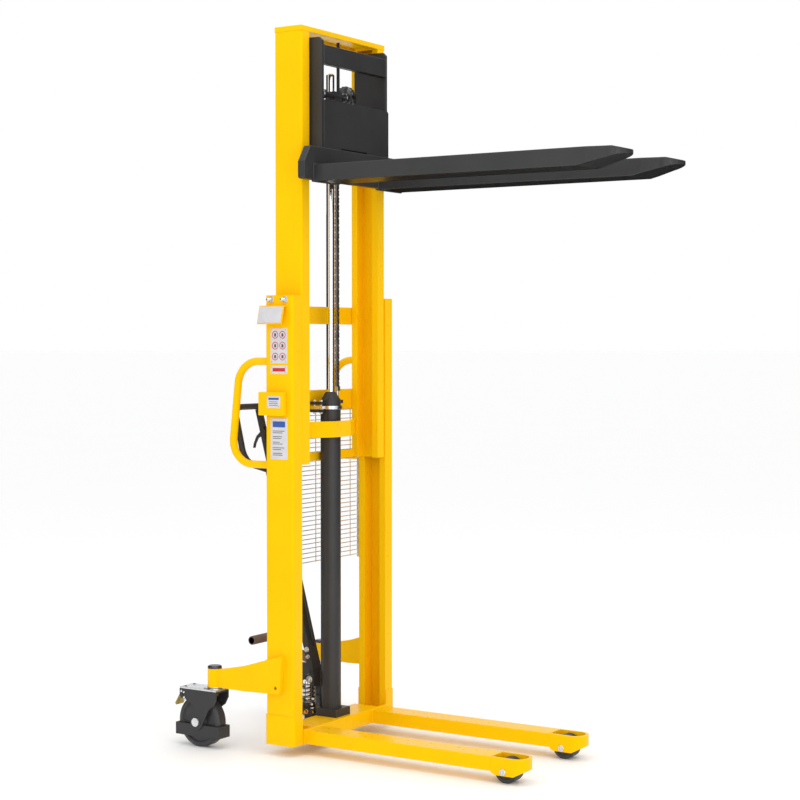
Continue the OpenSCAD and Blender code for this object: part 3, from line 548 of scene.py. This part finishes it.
def leaf_chain(name, pins, body=None):
    """Leaf chain through the given pin places: rows of waisted plates that alternate on round pins."""
    shape = Shape()
    end_r, waist, thick = 0.0055, 0.0042, 0.0018
    for i, (start, end) in enumerate(zip(pins, pins[1:])):
        along = (end - start).normalized()
        length = (end - start).length
        place = Matrix((along, Y.cross(along), Y)).transposed().to_4x4()
        place.translation = start
        arc = [math.radians(d) for d in range(-90, 91, 30)]
        outline = [(length + end_r * math.cos(a), end_r * math.sin(a)) for a in arc] + [(length / 2, waist)]
        outline += [(-end_r * math.cos(a), -end_r * math.sin(a)) for a in arc] + [(length / 2, -waist)]
        for row in ((-0.004, 0, 0.004) if i % 2 else (-0.006, -0.002, 0.002, 0.006)):
            shape.slab(outline, place @ Matrix.Translation((0, 0, row - thick / 2)), thick)
    for pin in pins:
        shape.lathe([(0.0014, -0.0074), (0.002, -0.0069), (0.002, 0.0069), (0.0014, 0.0074)],
                    facing(pin, Y), sides=10)
    return add_piece(name, shape, "bare_steel", body)


def strand_pins(node):
    """Pin places a chain pitch apart up the middle of a strand, and the strand's length."""
    low, high = at(node, 0.5, 0.5, 0), at(node, 0.5, 0.5, 1)
    count = round((high - low).length / CHAIN_PITCH)
    return [low.lerp(high, i / count) for i in range(count + 1)], (high - low).length


def make_chains():
    pins, length = strand_pins("chain_rear")
    rear = leaf_chain("leaf_chain_rear", pins)
    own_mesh(rear)
    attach(rear, "chassis")
    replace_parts(rear, "chain_rear")
    pins, length = strand_pins("chain_front")
    front = leaf_chain("leaf_chain_front", pins)
    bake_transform(front)
    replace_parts(front, "chain_front")
    centre = pivot("chain_wheel_turn")
    radius = pins[0].x - centre.x
    links = round(math.pi * radius / CHAIN_PITCH)
    turn = [centre + Vector((-radius * math.cos(a), 0, radius * math.sin(a)))
            for a in (math.pi * i / links for i in range(links + 1))]
    leaf_chain("leaf_chain_turn", turn, "inner_mast")


def make_spring():
    low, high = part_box("pump_spring")
    wire, turns, flat, steps = 0.0027, 5.5, 0.13, 154
    middle, radius = (low + high) / 2, (high.x - low.x) / 2 - wire
    points = []
    for i in range(steps + 1):
        t = i / steps
        # The coils close up over the flat share at each end
        climb = min(1, max(0, (t - flat) / (1 - 2 * flat)))
        angle = t * turns * math.tau
        points.append((middle.x + radius * math.cos(angle), middle.y + radius * math.sin(angle),
                       low.z + wire + (high.z - low.z - 2 * wire) * climb))
    shape = Shape()
    shape.tube(points, wire, 12)
    spring = add_piece("return_spring", shape, "bare_steel", None)
    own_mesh(spring)
    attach(spring, "chassis")
    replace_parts(spring, "pump_spring")


# ---- Bolts, nuts and rivets ----------------------------------------------------------------------

def make_pad_screws():
    """Adjusting screws of the guide pads."""
    shape = Shape()
    for low, high in solids("pad_bolts"):
        side = math.copysign(1, low.y)
        x, z = (low.x + high.x) / 2, (low.z + high.z) / 2
        face, tip = sorted((low.y, high.y), key=abs)
        shape.washer((x, face, z), Y * side, 0.0052, 0.0115, 0.0016)
        shape.hex_head((x, face + side * 0.0016, z), Y * side, 0.0092, 0.0078)
        shape.thread((x, face + side * 0.009, z), Y * side, 0.005, abs(tip - face) - 0.010)
    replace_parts(add_piece("pad_screws", shape, "zinc_plate", "chassis"), "pad_bolts")


def make_leg_roller_bolts():
    shape = Shape()
    for low, high in solids("leg_roller_axles"):
        x, z, half = (low.x + high.x) / 2, (low.z + high.z) / 2, (high.y - low.y) / 2
        radius, head = 0.011, 0.005
        end = [(radius, half - head), (radius, half - 0.001), (radius - 0.001, half), (0.0072, half),
               (0.0066, half - 0.0014), (0.0058, half - 0.0014), (0.0052, half), (0, half)]
        profile = [(r, -h) for r, h in end[::-1]] + [(0.008, head - half), (0.008, half - head)] + end
        shape.lathe(profile, facing((x, (low.y + high.y) / 2, z), Y))
    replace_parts(add_piece("leg_roller_bolts", shape, "zinc_plate", "chassis"), "leg_roller_axles")


def make_clamp():
    """Clamp stack that ties the head of the lift cylinder to the right mast."""
    clamp_low, clamp_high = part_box("cylinder_clamp")
    bars, screws = Shape(), Shape()
    x0, x1 = clamp_low.x, at("lift_cylinder", 0, 0, 0).x + 0.038
    y0, y1 = -0.052, -0.0375
    for z in (clamp_low.z - 0.0115, clamp_high.z + 0.004):
        bars.slab([(x0, y0), (x1, y0), (x1, y1), (x0, y1)], Matrix.Translation((0, 0, z)), 0.011)
    for x in (x0 + 0.016, x1 - 0.012):
        spot = Vector((x, (y0 + y1) / 2, clamp_high.z + 0.015))
        screws.washer(spot, Z, 0.003, 0.0070, 0.0012)
        screws.hex_head(spot + Z * 0.0012, Z, 0.0062, 0.005)
        screws.lathe([(0.004, 0), (0.004, 0.032)], facing(spot - Z * 0.033, Z), sides=16)
        screws.hex_head((x, spot.y, clamp_low.z - 0.0115), -Z, 0.0062, 0.005)
    add_piece("clamp_bars", bars, "black_paint", "chassis", 0.001)
    add_piece("clamp_screws", screws, "zinc_plate", "chassis")


def make_tiller_details():
    """Nuts of the tiller's pivot, the two screws through its foot, and the release rod with its clips."""
    hinge = pivot("tiller_pump")
    shape = Shape()
    pin_low, pin_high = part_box("tiller_bracket")
    for side, reach in ((-1, pin_low.y), (1, pin_high.y)):
        face = Vector((hinge.x, reach - side * 0.004, hinge.z))
        shape.washer(face, Y * side, 0.0072, 0.0125, 0.0014)
        shape.hex_head(face + Y * side * 0.0014, Y * side, 0.0108, 0.0075)
    add_piece("pivot_nuts", shape, "zinc_plate", "chassis")
    axis = (pivot("trigger_pull") - hinge).normalized()
    ahead = Y.cross(axis)
    shape = Shape()
    for along, radius, face in ((0.0787, 0.006, 0.026), (0.1046, 0.008, 0.024)):
        for side in (-1, 1):
            spot = hinge + axis * along + Y * side * face
            shape.washer(spot, Y * side, radius * 0.5, radius * 1.25, 0.0012)
            shape.lathe([(radius, 0), (radius, 0.005), (radius * 0.88, 0.006), (radius * 0.5, 0.006),
                         (radius * 0.42, 0.003), (0, 0.003)],
                        facing(spot + Y * side * 0.0012, Y * side), sides=24)
    add_piece("tiller_screws", shape, "zinc_plate", "tiller")
    shape = Shape()
    rod = [hinge + axis * t + ahead * 0.0165 for t in (0.135, 0.30, 0.60, 0.80)]
    rod.append(hinge + axis * 0.885 + ahead * 0.0125)
    shape.tube(rod, 0.0028, 12)
    for t in (0.16, 0.42, 0.70):
        place = Matrix((Y, ahead, axis)).transposed().to_4x4()
        place.translation = hinge + axis * t
        shape.slab([(-0.010, 0.0115), (0.010, 0.0115), (0.010, 0.0132), (0.0048, 0.0136),
                    (0.0044, 0.0206), (-0.0044, 0.0206), (-0.0048, 0.0136), (-0.010, 0.0132)], place, 0.012)
    add_piece("release_rod", shape, "black_paint", "tiller", 0.0005)


def make_chain_axle():
    axle = pivot("chain_wheel_turn")
    shape = Shape()
    low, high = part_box("rod_head")
    shape.washer((axle.x, high.y - 0.003, axle.z), Y, 0.0102, 0.0175, 0.002)
    shape.hex_head((axle.x, high.y - 0.001, axle.z), Y, 0.0150, 0.009)
    shape.dome((axle.x, low.y, axle.z), -Y, 0.0135, 0.004)
    low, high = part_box("chain_wheel")
    for y, side in ((low.y, -1), (high.y, 1)):
        shape.washer((axle.x, y, axle.z), Y * side, 0.0102, 0.0165, 0.0016)
    add_piece("chain_axle_nuts", shape, "zinc_plate", "inner_mast")


def make_rollers():
    """Seals and retaining rings in the faces of the mast and carriage rollers."""
    for body in ["mast_roller_right", "mast_roller_left"] + [
            f"carriage_roller_{level}_{side}" for level in ("upper", "lower") for side in SIDES]:
        centre, shape = pivot(f"{body}_turn"), Shape()
        low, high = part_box(body)
        for y, side in ((low.y, -1), (high.y, 1)):
            shape.washer((centre.x, y - side * 0.0004, centre.z), Y * side, 0.0132, 0.0195, 0.0009)
        add_piece(f"{body}_seals", shape, "nylon_wheel", body)


# ---- Casters -------------------------------------------------------------------------------------

def make_casters():
    """Caps and rivets, the swivel race, and rings in the wheel faces."""
    for side in SIDES:
        body = f"caster_{side}"
        axle = pivot(f"caster_wheel_{side}_turn")
        swivel = pivot(f"caster_{side}_swivel")
        plate_low, plate_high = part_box(f"caster_hardware_{side}")
        shape = Shape()
        for direction, bolt_end in ((-1, plate_low.y), (1, plate_high.y)):
            face = axle.y + direction * 0.037
            cap = abs(bolt_end - face) + 0.00002
            shape.lathe([(0.0158, 0), (0.0158, cap * 0.7), (0.0150, cap), (0, cap)],
                        facing((axle.x, face, axle.z), Y * direction))
            for x, z in ((-0.066, 0.103), (-0.055, 0.100), (-0.054, 0.082), (-0.050, 0.075)):
                shape.dome((axle.x + x, face, axle.z + z), Y * direction, 0.0042, 0.0024)
        top = plate_high.z
        shape.washer((swivel.x, swivel.y, top), Z, 0.0155, 0.0300, 0.0022)
        shape.washer((swivel.x, swivel.y, top + 0.0044), Z, 0.0155, 0.0270, 0.0022)
        add_piece(f"caster_caps_{side}", shape, "zinc_plate", body)
        shape = Shape()
        shape.washer((swivel.x, swivel.y, top + 0.0020), Z, 0.0155, 0.0245, 0.0026)
        for x, y in ((-0.066, 0.024), (-0.066, -0.024), (0.020, 0.024), (0.020, -0.024)):
            shape.dome((axle.x + 0.010 + x, axle.y + y, top), Z, 0.0045, 0.0030)
        add_piece(f"caster_race_{side}", shape, "bare_steel", body)
        wheel_low, wheel_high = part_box(f"caster_wheel_{side}")
        shape = Shape()
        for y, direction in ((wheel_low.y, -1), (wheel_high.y, 1)):
            shape.washer((axle.x, y - direction * 0.0002, axle.z), Y * direction, 0.0102, 0.0240, 0.0007)
            shape.lathe([(0.0715, 0), (0.0725, 0.0008), (0.0735, 0.0008), (0.0745, 0)],
                        facing((axle.x, y - direction * 0.0022, axle.z), Y * direction), 64, ring=True)
        add_piece(f"caster_wheel_rings_{side}", shape, "nylon_wheel", f"caster_wheel_{side}")


# ---- Labels, pedal, pump -------------------------------------------------------------------------

def make_labels():
    """Rivets on every plate, and plain bands and rings where the plates carry printing."""
    blue = plastic("label_blue", (0.03, 0.10, 0.42), (0.025, 0.085, 0.36), (0.35, 0.5), 500, 0.00001)
    red = plastic("label_red", (0.62, 0.02, 0.02), (0.52, 0.015, 0.015), (0.35, 0.5), 500, 0.00001)
    grey = plastic("label_grey", (0.10, 0.10, 0.11), (0.07, 0.07, 0.08), (0.4, 0.55), 500, 0.00001)
    rivets, blues, reds, greys = Shape(), Shape(), Shape(), Shape()

    def panel(shape, x0, x1, y, z0, z1):
        place = Matrix((X, Z, -Y)).transposed().to_4x4()
        place.translation = (0, y, 0)
        shape.slab([(x0, z0), (x1, z0), (x1, z1), (x0, z1)], place, 0.0003)

    for low, high in solids("label_plates"):
        if high.y - low.y > 0.005:
            continue
        y, inset = low.y, 0.005
        for x in (low.x + inset, high.x - inset):
            for z in (low.z + inset, high.z - inset):
                rivets.dome((x, y, z), -Y, 0.0022, 0.0011)
        width, height = high.x - low.x, high.z - low.z
        if height > 0.13:
            panel(blues, low.x + 0.009, high.x - 0.009, y, high.z - 0.030, high.z - 0.010)
            for i in range(5):
                z = high.z - 0.042 - i * 0.019
                panel(greys, low.x + 0.009, high.x - 0.012 - 0.010 * (i % 3), y, z - 0.0022, z)
                panel(greys, low.x + 0.009, high.x - 0.020 - 0.006 * (i % 2), y, z - 0.0082, z - 0.0060)
        elif height > 0.10:
            for row in range(3):
                for column in range(2):
                    centre = (low.x + width * (0.28 + 0.44 * column), y, high.z - 0.022 - row * 0.037)
                    reds.washer(centre, -Y, 0.0105, 0.0130, 0.0003)
                    panel(greys, centre[0] - 0.004, centre[0] + 0.004, y,
                          centre[2] - 0.006, centre[2] + 0.005)
        elif height > 0.03:
            panel(blues, low.x + 0.006, high.x - 0.006, y, high.z - 0.012, high.z - 0.005)
            for i in range(3):
                z = high.z - 0.018 - i * 0.006
                panel(greys, low.x + 0.008, high.x - 0.010, y, z - 0.0016, z)
        else:
            panel(reds, low.x + 0.009, high.x - 0.009, y, low.z + 0.008, high.z - 0.008)
    add_piece("label_rivets", rivets, "zinc_plate", "chassis")
    add_piece("label_bands", blues, "label_sheet", "chassis", material=blue)
    add_piece("label_rings", reds, "label_sheet", "chassis", material=red)
    add_piece("label_lines", greys, "label_sheet", "chassis", material=grey)


def make_pedal_grip():
    """Ribbed rubber sleeve on the foot pedal's bar."""
    low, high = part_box("foot_pedal")
    centre_x, centre_z, bar = low.x + 0.015, high.z - 0.015, 0.015
    shape = Shape()
    length, ribs = high.y - low.y, 18
    profile = [(bar * 0.8, 0), (bar + 0.0008, 0.001)]
    for i in range(ribs):
        for step, rise in ((0.1, 0.0002), (0.3, 0.0012), (0.7, 0.0012), (0.9, 0.0002)):
            profile.append((bar + rise, 0.004 + (length - 0.008) * (i + step) / ribs))
    profile += [(bar + 0.0008, length - 0.001), (bar * 0.8, length)]
    shape.lathe(profile, facing((centre_x, low.y, centre_z), Y), sides=36)
    add_piece("pedal_sleeve", shape, "pedal_rubber", "tiller")


def make_pump_details():
    """Screws and caps of the pump block, the valve heads, and the wiper round the piston rod."""
    low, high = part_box("pump_body")
    shape = Shape()
    cap = Vector((low.x + 0.024, high.y - 0.020, high.z))
    shape.washer(cap, Z, 0.004, 0.0150, 0.0025)
    shape.hex_head(cap + Z * 0.0025, Z, 0.0120, 0.010)
    front = at("tiller_bracket", 0, 0, 0).x
    spring = at("pump_spring", 0.5, 0.5, 0)
    block_top = spring.z - 0.018
    for x, y in ((low.x + 0.010, -0.040), (low.x + 0.010, 0.006), (front + 0.021, -0.042)):
        shape.hex_head((x, y, block_top), Z, 0.0062, 0.005)
    shape.washer(spring, Z, 0.0101, 0.0240, 0.0012)
    for z, y in ((spring.z - 0.003, -0.036), (spring.z + 0.016, -0.030)):
        shape.lathe([(0.0045, 0), (0.0045, 0.010), (0.0035, 0.012)],
                    facing((spring.x + 0.026, y, z), (1, -0.8, 0)), sides=20)
    add_piece("pump_screws", shape, "zinc_plate", "chassis")
    shape = Shape()
    for low, high in solids("valve_fitting"):
        centre = (low + high) / 2
        if high.y - low.y < 0.014 and high.x - low.x > 0.010:
            shape.hex_head((centre.x, low.y + 0.001, centre.z), -Y, (high.x - low.x) * 0.42, 0.006)
            shape.washer((centre.x, high.y - 0.003, centre.z), -Y, 0.003, (high.x - low.x) * 0.66, 0.002)
    add_piece("valve_heads", shape, "brass_fitting", "chassis")
    head = at("cylinder_head", 0, 0, 1)
    rod = at("piston_rod", 0.5, 0.5, 0)
    shape = Shape()
    shape.lathe([(0.0153, -0.002), (0.0185, -0.002), (0.0185, 0.0015), (0.0165, 0.0035), (0.0153, 0.003)],
                facing((rod.x, rod.y, head.z), Z), 48, ring=True)
    add_piece("rod_wiper", shape, "nylon_wheel", "chassis")


# ---- Welds ---------------------------------------------------------------------------------------

def make_welds():
    """Beads along the joints of the frame, the cylinder, the inner mast and the carriage."""
    shape = Shape()
    beam_low, beam_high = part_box("base_frame")
    for side, sign in SIDES.items():
        low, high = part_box(f"outer_mast_{side}")
        front, rear = high.x - 0.003, low.x + 0.004
        inside, outside = sorted((low.y, high.y), key=abs)
        face, top = outside - sign * 0.003, 0.140
        shape.weld([(front, inside + sign * 0.002, top), (front, face - sign * 0.011, top),
                    (front - 0.011, face, top), (rear + 0.011, face, top), (rear, face - sign * 0.011, top),
                    (rear, inside + sign * 0.002, top)], 0.0022)
        leg_low, leg_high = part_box(f"leg_{side}")
        roller = pivot(f"leg_roller_{side}_turn")
        near, far = roller.y - sign * 0.043, roller.y + sign * 0.043
        start = leg_low.x
        shape.weld([(start, near, leg_high.z - 0.043), (start, near, leg_high.z), (start, far, leg_high.z),
                    (start, far, leg_high.z - 0.043)], 0.0026)
        head = roller.x - 0.045
        shape.weld([(head, near, leg_high.z), (head, far, leg_high.z)], 0.0012)
        for y in (near, far):
            edge = y + math.copysign(0.0004, y - roller.y)
            shape.weld([(head, edge, leg_high.z), (head, edge, leg_high.z - 0.045)], 0.0012)
        shape.weld([(front - 0.001, inside, beam_high.z - 0.002), (front - 0.001, inside, beam_low.z)],
                   0.0022)
        for low, high in solids("caster_arms"):
            if low.y * sign > 0 or high.y * sign > 0:
                shape.weld([(high.x, face, high.z - 0.006), (high.x - 0.006, face, low.z + 0.010),
                            (high.x - 0.014, face, low.z + 0.003), (rear, face, low.z + 0.001)], 0.0026)
                shape.weld([(high.x - 0.006, face, high.z), (rear, face, high.z - 0.021)], 0.0026)
    rear = at("mast_cross_members", 1, 0, 0).x
    for low, high in solids("mast_cross_members"):
        for y in (low.y, high.y):
            shape.weld([(rear, y, low.z), (rear, y, high.z)], 0.0026)
    for low, high in solids("push_handles"):
        for z in (low.z + 0.013, high.z - 0.013):
            shape.weld_ring((high.x, (low.y + high.y) / 2, z), X, 0.0135, 0.0024)
    add_piece("chassis_welds", shape, "yellow_paint", "chassis")

    shape = Shape()
    low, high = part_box("lift_cylinder")
    rod = at("piston_rod", 0.5, 0.5, 0)
    shape.weld_ring((rod.x, rod.y, low.z + 0.028), Z, 0.0362, 0.0026)
    add_piece("cylinder_welds", shape, "black_paint", "chassis")

    shape = Shape()
    for low, high in solids("inner_ties"):
        for y in (low.y, high.y):
            edge = y - math.copysign(0.001, y)
            shape.weld([(low.x + 0.0075, edge, low.z), (low.x + 0.0075, edge, high.z)], 0.0024)
    add_piece("inner_mast_welds", shape, "yellow_paint", "inner_mast")

    shape = Shape()
    for side in SIDES:
        low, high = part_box(f"fork_{side}")
        shape.weld([(low.x, low.y, high.z), (low.x, high.y, high.z), (low.x, high.y, low.z),
                    (low.x, low.y, low.z)], 0.003, closed=True)
    beam_low, beam_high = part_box("fork_beam")
    for start, end in ((-0.196, -0.104), (0.064, 0.196)):
        shape.weld([(beam_low.x + 0.015, start, beam_high.z), (beam_low.x + 0.015, end, beam_high.z)], 0.0026)
    low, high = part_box("carriage_top_beam")
    for y in (low.y, high.y):
        shape.weld([(high.x, y, low.z), (high.x, y, high.z)], 0.0024)
    add_piece("carriage_welds", shape, "black_paint", "carriage")


make_camera()
make_studio()
finish_nodes()
make_chains()
make_spring()
make_pad_screws()
make_leg_roller_bolts()
make_clamp()
make_tiller_details()
make_chain_axle()
make_rollers()
make_casters()
make_labels()
make_pedal_grip()
make_pump_details()
make_welds()
